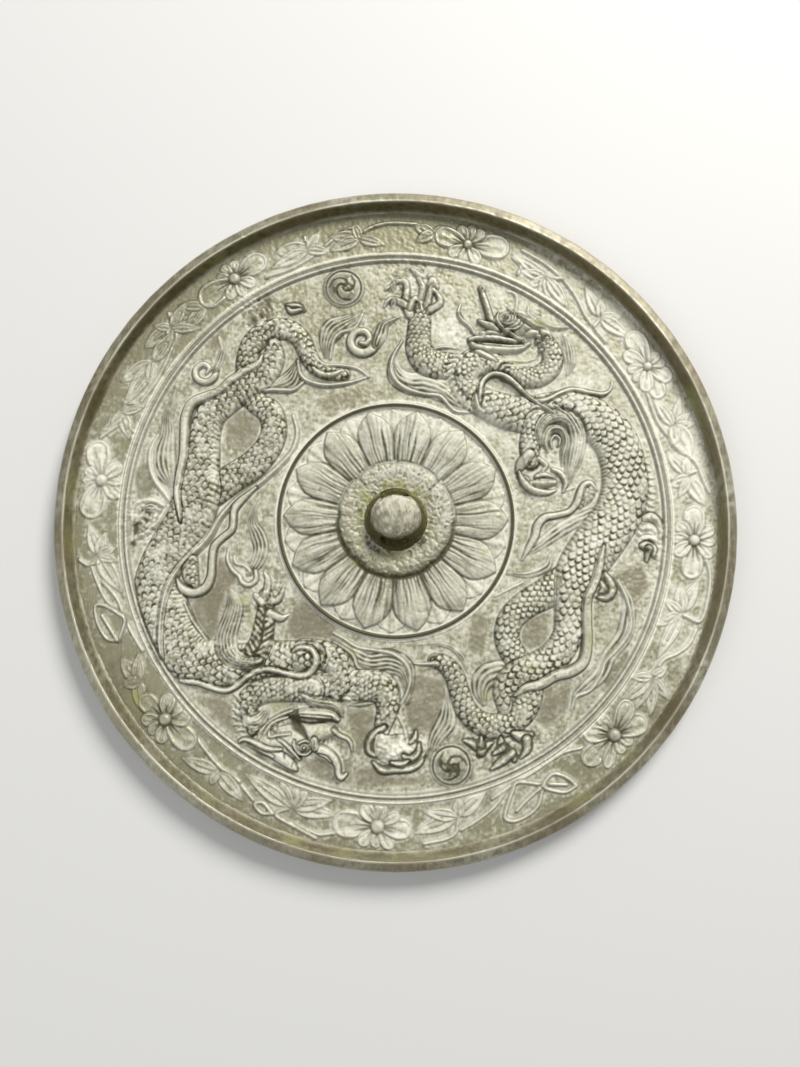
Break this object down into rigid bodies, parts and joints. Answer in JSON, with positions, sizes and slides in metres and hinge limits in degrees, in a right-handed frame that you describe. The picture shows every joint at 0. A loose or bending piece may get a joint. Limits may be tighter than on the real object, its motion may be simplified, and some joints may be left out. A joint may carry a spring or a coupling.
{
  "type": "bronze hand mirror disc",
  "caption": "Round cast bronze mirror lying face down: raised rim, two dragons round a lotus medallion, flower scroll band and a pierced centre knob for a cord.",
  "frame": {"origin": "centre of the flat reflecting face, which is the underside", "axes": "+Z out of the patterned side, up through the pierced knob; +Y along the cord hole, towards the raised forefoot of one dragon; +X to the right, towards that dragon's back"},
  "size_m": [0.22, 0.22, 0.012],
  "materials": {
    "bronze": "dark olive-grey patinated bronze, matt, with cream-white powdery deposit in the hollows and yellow-green corrosion spots"
  },
  "bodies": {
    "root": {"mirror": "bronze"}
  },
  "joints": []
}
